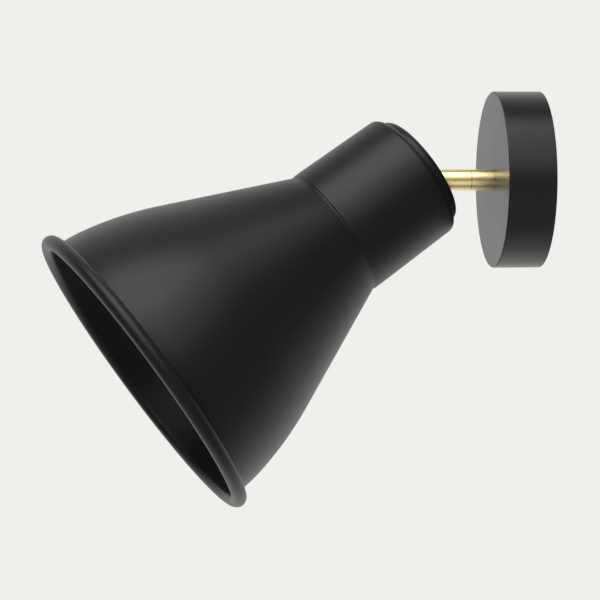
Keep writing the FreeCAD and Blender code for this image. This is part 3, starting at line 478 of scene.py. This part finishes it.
# %% Cards for the brass
brass_pieces = bpy.data.collections.new("brass_pieces")
for name in ("stem_tube", "stem_socket", "pivot_drum"):
    brass_pieces.objects.link(frame["nodes"][name])
CARD_DISTANCE = 0.6
for name, aim, size, power in (("lower_card", Vector((0.70, 0.02, -0.66)), 0.6, 0.95),
                               ("upper_card", Vector((0.56, 0.02, 0.80)), 0.5, 1.10)):
    card = softbox(name, aim, CARD_DISTANCE, size, power)
    card.light_linking.receiver_collection = brass_pieces

# %% [markdown]
# A CAD node keeps its shape and its place. Its finish is named by its material slot in the
# record, so one loop over the frame's objects swaps each plain slot for the worked finish
# of the same name.

# %% Dress the carried-over nodes
SLEEVING = "core_sleeving"
for name, node in frame["nodes"].items():
    for slot in node.material_slots:
        plain = slot.material.name.split(".")[0] if slot.material else ""
        wanted = "live_core" if plain == SLEEVING else plain
        if wanted in finishes:
            slot.material = finishes[wanted].material
        else:
            print("no finish for", name, plain)
print("dressed", len(frame["nodes"]), "nodes")


# %% [markdown]
# ## Making new pieces
#
# Every new piece is a bmesh first. `finished` completes it: doubles are merged, the normals
# made to agree, the faces are shaded smooth with sharp edges kept by angle, and the object
# is left at the origin with its place in its mesh, riding on its body.

# %% From a bmesh to a piece
WELD = 0.002


def finished(name, form, place, body, finish, stands_for=(), sharp=35):
    """Turn a bmesh into a smooth, dressed object that rides on a body."""
    bmesh.ops.remove_doubles(form, verts=form.verts, dist=WELD * MM)
    bmesh.ops.recalc_face_normals(form, faces=form.faces)
    bmesh.ops.transform(form, matrix=place, verts=form.verts)
    for face in form.faces:
        face.smooth = True
    mesh = bpy.data.meshes.new(name)
    form.to_mesh(mesh)
    form.free()
    mesh.set_sharp_from_angle(angle=math.radians(sharp))
    piece = bpy.data.objects.new(name, mesh)
    scene.collection.objects.link(piece)
    names = [finish] if isinstance(finish, str) else finish
    for one in names:
        mesh.materials.append(finishes[one].material)
    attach(piece, body)
    if stands_for:
        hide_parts(*stands_for)
    print(name, "faces:", len(mesh.polygons))
    return piece


# %% Spin an outline about the frame's z axis
AXIS = (0, 0, 1)
CENTRE = (0, 0, 0)


def turned(outline, steps=96, closed=True, form=None):
    """An outline of (radius, height) in mm, spun once round. Closed outlines meet themselves."""
    form = form or bmesh.new()
    corners = [form.verts.new((radius * MM, 0, height * MM)) for radius, height in outline]
    lines = [form.edges.new(pair) for pair in zip(corners, corners[1:])]
    if closed:
        lines.append(form.edges.new((corners[-1], corners[0])))
    bmesh.ops.spin(form, geom=corners + lines, cent=CENTRE, axis=AXIS, angle=math.tau,
                   steps=steps, use_merge=True)
    return form


def arc(middle, radius, start, end, steps):
    """Points of (radius, height) on an arc, its angles in degrees from outwards."""
    turns = [math.radians(start + (end - start) * i / steps) for i in range(steps + 1)]
    return [(middle[0] + radius * math.cos(a), middle[1] + radius * math.sin(a)) for a in turns]


# %% [markdown]
# ## The head's two shells
#
# The neck is turned all round and the shade is spun over a former, so both are truly round.
# A fine spin gives the long reflections along them an even edge. In the photograph the
# neck's line runs on over the shade's collar, and the cone starts at a crisp crease.

# %% Measures of the shells, in mm
SHELL_STEPS = 192
neck_rear, neck_mouth, neck_flare = [v / MM for v in reach("neck_housing", cap_face, to_mouth)]
shade_rear, rim_end, rim_reach = [v / MM for v in reach("bell_shade", cap_face, to_mouth)]
NECK_RADIUS = 37.9
NECK_WALL = 2.0
NECK_SHOULDER = 4.1
NECK_WEB = 2.2
GROOVE_FROM = 3.7
GROOVE_TO = 4.95
GROOVE_DEPTH = 0.5
SHEET = 1.0
print("neck, shade:", round(neck_rear, 2), round(neck_mouth, 2), round(neck_flare, 2),
      round(shade_rear, 2), round(rim_end, 2), round(rim_reach, 2))

# %% The neck, with its groove for the cap's ring
web_hole = NECK_RADIUS - NECK_SHOULDER
bore = NECK_RADIUS - NECK_WALL
groove_floor = bore + GROOVE_DEPTH
shoulder = arc((web_hole, neck_rear + NECK_SHOULDER), NECK_SHOULDER, -90, 0, 12)
neck_form = turned(shoulder + [
    (neck_flare, neck_mouth), (neck_flare - NECK_WALL, neck_mouth),
    (bore, neck_rear + GROOVE_TO), (groove_floor, neck_rear + GROOVE_TO),
    (groove_floor, neck_rear + GROOVE_FROM), (bore, neck_rear + GROOVE_FROM),
    (bore, neck_rear + NECK_WEB), (web_hole, neck_rear + NECK_WEB)], SHELL_STEPS)
print("neck's bore and the hole in its web, mm:", round(bore, 2), round(web_hole, 2))

# %% Its two lugs, where the fork's bar is screwed on
LUG_OFFSET = 29.5
LUG_RADIUS = 4.5
LUG_HOLE = 1.65
LUG_ROOT = 0.9
LUG_FROM = 14.0
LUG_LENGTH = 13.0
root_x = bore + LUG_ROOT
lug_outline = [(root_x, -LUG_RADIUS), (root_x, LUG_RADIUS)]
lug_outline += arc((LUG_OFFSET, 0), LUG_RADIUS, 90, 270, 16)
hole_outline = arc((LUG_OFFSET, 0), LUG_HOLE, 0, 337.5, 15)
for side in (1, -1):
    loops = []
    for outline in (lug_outline, hole_outline):
        corners = [neck_form.verts.new((side * x * MM, y * MM, LUG_FROM * MM)) for x, y in outline]
        loops += [neck_form.edges.new(pair) for pair in zip(corners, corners[1:] + corners[:1])]
    flat = bmesh.ops.triangle_fill(neck_form, edges=loops, use_beauty=True)["geom"]
    flat = [part for part in flat if isinstance(part, bmesh.types.BMFace)]
    grown = bmesh.ops.extrude_face_region(neck_form, geom=flat, use_keep_orig=True)["geom"]
    grown = [part for part in grown if isinstance(part, bmesh.types.BMVert)]
    bmesh.ops.translate(neck_form, verts=grown, vec=(0, 0, LUG_LENGTH * MM))
finished("turned_neck", neck_form, HEAD, "head", "head_paint", ("neck_housing",))

# %% [markdown]
# The shade's outline starts at the flange that the lampholder's ring clamps, steps out over
# the spigot to the collar, and runs down the cone. Two sweeps turn it parallel to the axis,
# and the rim is rolled outwards and back to the sheet. The outline is one face of the sheet.
# The normals of the skin that it spins face the axis, so Solidify thickens it inwards.

# %% The spun bell shade
FLANGE_HOLE = 20.3
SPIGOT = 36.5
COLLAR = 38.1
CREASE = 63.3
CREASE_BLEND = 2.0
CONE_ANGLE = 23.5
CONE_START = 63.97
UPPER_SWEEP = 196.7
LOWER_SWEEP = 101.0
SWEEP_JOIN = 11.0
RIM_ROLL = 3.1
RIM_SKIN = 3.08
SEAM = 0.03
mouth_depth = rim_end - RIM_ROLL - SHEET
mouth_radius = rim_reach - 2 * RIM_ROLL - SHEET
lower_middle = (mouth_radius - LOWER_SWEEP, mouth_depth)
join = arc(lower_middle, LOWER_SWEEP, -SWEEP_JOIN, 0, 20)
upper_turn = math.radians(-SWEEP_JOIN)
upper_middle = (join[0][0] - UPPER_SWEEP * math.cos(upper_turn),
                join[0][1] - UPPER_SWEEP * math.sin(upper_turn))
blend_middle = (COLLAR + CREASE_BLEND,
                CONE_START - CREASE_BLEND * math.tan(math.radians(CONE_ANGLE / 2)))
shade_outline = [(FLANGE_HOLE, shade_rear), (SPIGOT, shade_rear), (SPIGOT, neck_mouth + SEAM),
                 (neck_flare, neck_mouth + SEAM), (neck_flare - 0.1, CREASE - 0.5),
                 (COLLAR, CREASE)]
shade_outline += arc(blend_middle, CREASE_BLEND, 180, 180 - CONE_ANGLE, 6)
upper = arc(upper_middle, UPPER_SWEEP, -CONE_ANGLE, -SWEEP_JOIN, 24)
shade_outline += upper[:-1] + join[:-1]
shade_outline += arc((mouth_radius + RIM_ROLL, mouth_depth), RIM_SKIN, 180, -120, 40)
shade_form = turned(shade_outline, SHELL_STEPS, closed=False)
shade = finished("spun_shade", shade_form, HEAD, "head", "head_paint", ("bell_shade",))
shade_sheet = shade.modifiers.new("sheet", "SOLIDIFY")
shade_sheet.thickness = SHEET * MM
shade_sheet.offset = 1
shade_sheet.use_even_offset = True
print("cone ends at, mm:", [round(c, 2) for c in upper[0]])

# %% [markdown]
# A screw thread is one outline carried round and along at once: `spin` with a step along
# the axis. One pitch of the outline is enough, because after a full turn its end lands on
# the start of the turn before, and merging the doubles closes the skin.

# %% Carry a thread's outline round and along
CREST_FROM = 0.44
CREST_TO = 0.56


def thread(crest, root, start, end, pitch, rounded, steps=48, form=None):
    """A helical skin between two radii, from start to end along z, in mm."""
    form = form or bmesh.new()
    if rounded:
        wave = [(root + (crest - root) * (0.5 - 0.5 * math.cos(math.tau * i / 8)), pitch * i / 8)
                for i in range(9)]
    else:
        wave = [(root, 0), (crest, pitch * CREST_FROM), (crest, pitch * CREST_TO), (root, pitch)]
    turns = max(1, int((end - start) / pitch) - 1)
    corners = [form.verts.new((radius * MM, 0, (start + height) * MM)) for radius, height in wave]
    lines = [form.edges.new(pair) for pair in zip(corners, corners[1:])]
    bmesh.ops.spin(form, geom=corners + lines, cent=CENTRE, axis=AXIS,
                   angle=math.tau * turns, steps=steps * turns,
                   dvec=(0, 0, pitch / steps * MM))
    return form


# %% [markdown]
# ## The lamp
#
# The frosted globe and its E27 cap come together. On the real lamp the thread is rolled
# into a thin shell, so crests and roots are round. Below the thread a ring of black glass
# keeps the shell apart from the centre contact, which ends in a blob of solder.

# %% Lengths of the lamp, read from its nodes
lamp_start, joint_end, cap_radius = [v / MM for v in reach("bulb_base", cap_face, to_mouth)]
globe_base, globe_tip, globe_radius = [v / MM for v in reach("bulb_glass", cap_face, to_mouth)]
E27_PITCH = 25.4 / 7
THREAD_DEPTH = 1.1
print("lamp cap from, to, radius:", round(lamp_start, 1), round(joint_end, 1), round(cap_radius, 2))

# %% The lamp's screw cap
cap_form = turned([
    (0, lamp_start + 0.2), (1.5, lamp_start), (3.4, lamp_start + 0.5), (4.4, lamp_start + 1.1),
    (4.9, lamp_start + 1.2), (4.9, lamp_start + 1.6), (0, lamp_start + 1.6)], closed=False)
finished("lamp_contact", cap_form, HEAD, "head", "lamp_metal")

vitrite = turned([
    (4.7, lamp_start + 1.3), (6.2, lamp_start + 1.5), (8.6, lamp_start + 3.0),
    (11.2, lamp_start + 4.6), (11.6, lamp_start + 5.4), (4.7, lamp_start + 5.4)])
finished("lamp_insulator", vitrite, HEAD, "head", "lamp_vitrite")

thread_start = lamp_start + 5.2
thread_end = joint_end - 3.4
thread_skin = thread(cap_radius, cap_radius - THREAD_DEPTH, thread_start, thread_end,
                     E27_PITCH, True)
turned([(11.2, thread_start - 0.8), (12.0, thread_start + 0.2), (12.15, thread_end),
        (12.4, thread_end + 0.8), (13.0, thread_end + 1.2), (13.2, joint_end - 0.6),
        (13.0, joint_end), (11.0, joint_end), (11.0, thread_start - 0.8)], form=thread_skin)
finished("lamp_screw_cap", thread_skin, HEAD, "head", "lamp_metal", ("bulb_base",),
         sharp=60)

# %% [markdown]
# The globe is blown: a straight neck held in the cap, a flare and a sphere. The outline
# follows the solid's own: its outermost radius, its tip and where it leaves the cap. Its
# wall is one Solidify deep, thickened inwards after the skin is spun.

# %% The globe
def outer_radius(node, start, axis, low, high):
    """Largest radius of a node's corners whose distance along the axis is in a band."""
    found = 0.0
    for vertex in frame["nodes"][node].data.vertices:
        offset = vertex.co - start
        distance = offset.dot(axis)
        if low * MM <= distance <= high * MM:
            found = max(found, (offset - distance * axis).length)
    return found / MM


globe_neck = outer_radius("bulb_glass", cap_face, to_mouth, globe_base - 0.1, globe_base + 0.6)
globe_middle = globe_tip - globe_radius
flare_start = globe_base + 1.5
FLARE_END = 30
GLASS = 0.9
print("globe radius, neck radius:", round(globe_radius, 2), round(globe_neck, 2))

# %% Blow the globe
bulge = arc((0, globe_middle), globe_radius, -FLARE_END, 90, 40)
flare = arc((globe_neck + globe_radius, flare_start), globe_radius, 180, 180 - FLARE_END, 12)
globe_form = turned([(globe_neck, globe_base)] + flare + bulge[:-1] + [(0, globe_tip)],
                    steps=128, closed=False)
globe = finished("lamp_globe", globe_form, HEAD, "head", "frosted_glass", ("bulb_glass",),
                 sharp=60)
glass_wall = globe.modifiers.new("glass_wall", "SOLIDIFY")
glass_wall.thickness = GLASS * MM
glass_wall.offset = -1
print("flare meets the sphere at radius", round(bulge[0][0], 2))

# %% [markdown]
# ## The lampholder's screw shell
#
# The plain liner in the holder stands for a brass sleeve with a rolled E27 thread, the
# mirror of the lamp's own. A skin spun as a thread gets its wall from Solidify.

# %% The threaded sleeve in the lampholder
SLEEVE_ROLL = 0.8
SLEEVE_SHEET = 0.3
liner = reach("lamp_thread", cap_face, to_mouth)
sleeve_start, sleeve_end, sleeve_radius = [v / MM for v in liner]
sleeve_crest = sleeve_radius - 0.1
sleeve_form = thread(sleeve_crest, sleeve_crest - SLEEVE_ROLL, sleeve_start + 0.5,
                     sleeve_end + 1.5, E27_PITCH, True)
sleeve = finished("holder_screw_shell", sleeve_form, HEAD, "head", "turned_brass",
                  ("lamp_thread",), sharp=60)
sleeve_wall = sleeve.modifiers.new("sheet", "SOLIDIFY")
sleeve_wall.thickness = SLEEVE_SHEET * MM
sleeve_wall.offset = 1
print("sleeve from, to, radius:", [round(v / MM, 1) for v in liner])

# %% [markdown]
# ## The M10 nipples
#
# Lighting uses hollow threaded tube, M10 with a 1 mm pitch, for nearly every joint: it
# fastens a part and lets the wires through. A thread skin makes the outside, and a spun
# tube just under its roots makes the wall and the bore.

# %% Threaded tubes for the rose and the lampholder
M10_PITCH = 1.0
M10_DEPTH = 0.55
M10_WALL = 1.35


def nipple(name, node, frame_matrix, start, axis, body):
    """A threaded tube in place of a plain one, as long and as thick as it."""
    first, last, radius = [v / MM for v in reach(node, start, axis)]
    root = radius - M10_DEPTH
    form = thread(radius - 0.02, root, first + 0.6, last + 0.4, M10_PITCH, False, steps=32)
    inside = radius - M10_WALL
    outside = root + 0.02
    turned([(inside, first), (root - 0.2, first), (outside, first + 0.4), (outside, last - 0.4),
            (root - 0.2, last), (inside, last)], steps=64, form=form)
    return finished(name, form, frame_matrix, body, "zinc_steel", (node,), sharp=40)


nipple("rose_nipple", "threaded_nipple", WALL, wall_centre, out_of_wall, "wall_side")
nipple("lampholder_nipple", "holder_nipple", HEAD, cap_face, to_mouth, "head")

# %% [markdown]
# ## The wires
#
# Each core is a round tube along a smooth spline, led by a few points, which is how a soft
# core lies between two fixed ends. Brown is live and blue is neutral, and the
# protective earth is green with a yellow stripe along it.

# %% Lay a core along a smooth line
STRIPE = 0.7


def smooth_line(points):
    """Points along a smooth spline, read from a curve that has no thickness."""
    curve = bpy.data.curves.new("route", "CURVE")
    curve.dimensions = "3D"
    curve.resolution_u = 8
    spline = curve.splines.new("NURBS")
    spline.points.add(len(points) - 1)
    for knot, point in zip(spline.points, points):
        knot.co = (point[0] * MM, point[1] * MM, point[2] * MM, 1)
    spline.order_u = 3
    spline.use_endpoint_u = True
    holder = bpy.data.objects.new("route", curve)
    line = bpy.data.meshes.new_from_object(holder)
    places = [vertex.co.copy() for vertex in line.vertices]
    bpy.data.objects.remove(holder)
    bpy.data.curves.remove(curve)
    bpy.data.meshes.remove(line)
    return places


def core_form(places, radius, striped=False, sides=14):
    """A round tube swept along places: a ring that is extruded from one to the next."""
    form = bmesh.new()
    ahead = (places[1] - places[0]).normalized()
    turn = ahead.to_track_quat("Z", "X")
    mark = turn @ Vector((1, 0, 0))
    first = Matrix.Translation(places[0]) @ turn.to_matrix().to_4x4()
    ring = bmesh.ops.create_circle(form, segments=sides, radius=radius * MM, cap_ends=True,
                                   matrix=first)
    loop = ring["verts"]
    edges = list({edge for vertex in loop for edge in vertex.link_edges})
    for i in range(1, len(places)):
        after = places[min(i + 1, len(places) - 1)] - places[i - 1]
        swing = ahead.rotation_difference(after.normalized())
        bend = swing.to_matrix().to_4x4()
        mark = swing @ mark
        grown = bmesh.ops.extrude_edge_only(form, edges=edges)["geom"]
        loop = [part for part in grown if isinstance(part, bmesh.types.BMVert)]
        edges = [part for part in grown if isinstance(part, bmesh.types.BMEdge)]
        edges = [edge for edge in edges if all(vertex in loop for vertex in edge.verts)]
        step = Matrix.Translation(places[i]) @ bend @ Matrix.Translation(-places[i - 1])
        bmesh.ops.transform(form, matrix=step, verts=loop)
        ahead = after.normalized()
        middle = (places[i] + places[i - 1]) / 2
        for side in [part for part in grown if isinstance(part, bmesh.types.BMFace)]:
            beside = (side.calc_center_median() - middle).normalized()
            side.material_index = int(striped and beside.dot(mark) > STRIPE)
    bmesh.ops.contextual_create(form, geom=edges)
    return form


BARE_SHARE = 0.62


def core(name, points, radius, place, body, finish, stands_for=(), bare=()):
    """An insulated core, and its bare copper ends where they are given."""
    striped = not isinstance(finish, str)
    piece = finished(name, core_form(smooth_line(points), radius, striped), place, body, finish,
                     stands_for, sharp=50)
    for number, end in enumerate(bare):
        strand = core_form(smooth_line(end), radius * BARE_SHARE)
        finished(f"{name}_end_{number + 1}", strand, place, body, "bare_copper", (),
                 sharp=50)
    return piece


# %% [markdown]
# The three cores in the rose leave the nipple, spread, and go to the terminal block's two
# poles and to the earth screw on the strap. Their routes are the solid cores' own, in the
# upright frame of the wall, so each end lands in its terminal.

# %% Route of the cores in the rose
CORE_RADIUS = 0.9
nipple_rear = reach("threaded_nipple", wall_centre, out_of_wall)[0] / MM
block_low, block_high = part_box("terminal_block")
block_side = block_low.x / MM
block_middle = (block_low.z + block_high.z) / 2 / MM
STRAP_HALF_WIDTH = 9.0
insert_low, insert_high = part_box("terminal_inserts")
wire_level = -(insert_low.y + insert_high.y) / 2 / MM
earth_low, earth_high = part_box("earth_screw")
earth_x = (earth_low.x + earth_high.x) / 2 / MM
washer_face = reach("earth_washer", wall_centre, out_of_wall)[1] / MM
print("nipple starts at", round(nipple_rear, 1), "wires enter the block at", round(wire_level, 2))

# %% Cores of the rose
BEHIND = nipple_rear - 2.5
INSIDE = nipple_rear + 5
BESIDE = STRAP_HALF_WIDTH + 4.5
POLE_OFFSET = 4.5
for name, start_x, pole in (("live_wire", 1.1, block_middle - POLE_OFFSET),
                            ("neutral_wire", -1.1, block_middle + POLE_OFFSET)):
    finish = "live_core" if name == "live_wire" else "neutral_core"
    stood_for = ("rose_leads",) if name == "live_wire" else ()
    core(name, [(start_x, 0.6, INSIDE), (start_x, 0.6, BEHIND),
                (BESIDE, STRAP_HALF_WIDTH + 3.5, BEHIND), (BESIDE + 4, pole, wire_level),
                (-block_side + 1, pole, wire_level), (-block_side - 6, pole, wire_level)],
         CORE_RADIUS, WALL, "wall_side", finish, stood_for)

earth_level = washer_face + CORE_RADIUS
earth_side = earth_x - 2.7
core("earth_wire", [(0, -1.3, INSIDE), (0, -1.3, BEHIND), (-6, -STRAP_HALF_WIDTH - 4, BEHIND),
                    (earth_side, -STRAP_HALF_WIDTH - 4, earth_level),
                    (earth_side, -7, earth_level), (earth_side, -4, earth_level)],
     CORE_RADIUS, WALL, "wall_side", ["earth_green", "earth_yellow"],
     bare=[[(earth_side, -4.5, earth_level), (earth_side, -1, earth_level),
            (earth_side, 3, earth_level)]])

# %% [markdown]
# The sheathed flex is in two lengths, one in the stem and one in the head. The gap between
# them is where the real flex bends inside the hollow pivot. Its two cores part behind the
# lampholder and drop to the terminals.

# %% The flex and the lampholder's cores
FLEX_RADIUS = 2.0
for name, node, place, start, axis, body in (
        ("stem_cable", "stem_flex", WALL, wall_centre, out_of_wall, "stem"),
        ("head_cable", "head_flex", HEAD, cap_face, to_mouth, "head")):
    first, last = [v / MM for v in reach(node, start, axis)[:2]]
    core(name, [(0, 0, first), (0, 0, (first + last) / 2), (0, 0, last)], FLEX_RADIUS,
         place, body, "flex_sheath", (node,))

flex_end, terminal_level = [v / MM for v in reach("holder_leads", cap_face, to_mouth)[:2]]
for name, side, finish in (("holder_live_wire", 1, "live_core"),
                           ("holder_neutral_wire", -1, "neutral_core")):
    stood_for = ("holder_leads",) if side > 0 else ()
    core(name, [(side * 0.95, 0, flex_end), (side * 0.95, 0, flex_end + 2.6),
                (side * 4.5, 0, flex_end + 2.6), (side * 8, 0, flex_end + 2.6),
                (side * 8, 0, terminal_level)],
         CORE_RADIUS, HEAD, "head", finish, stood_for)
